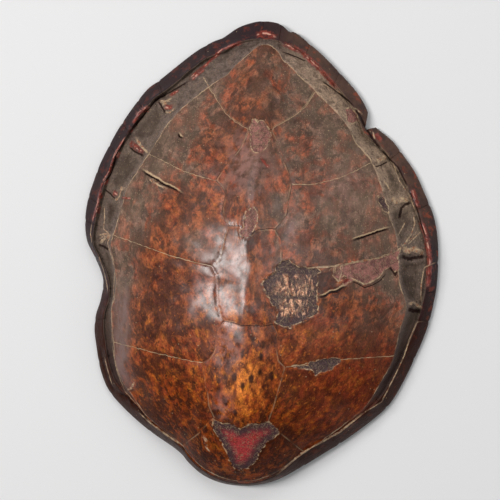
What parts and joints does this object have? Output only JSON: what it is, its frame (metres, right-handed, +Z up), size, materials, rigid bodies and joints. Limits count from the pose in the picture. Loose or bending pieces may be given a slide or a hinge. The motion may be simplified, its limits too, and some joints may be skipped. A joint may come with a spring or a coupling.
{
  "type": "sea turtle shell",
  "caption": "Upper shell of an adult sea turtle, a long low dome of fused plates with a thickened rim, hollow underneath, polished and worn.",
  "frame": {"origin": "on the resting plane, under the middle of the outline's bounding box", "axes": "+Y from the neck end to the tail end along the keel, +X to the turtle's right side seen from above with the tail up, +Z up from the resting plane through the crown of the dome"},
  "size_m": [0.7272, 0.9422, 0.214],
  "materials": {
    "tortoiseshell": "lacquered, dusty towards the tail"
  },
  "bodies": {
    "root": {"carapace": "tortoiseshell"}
  },
  "joints": []
}
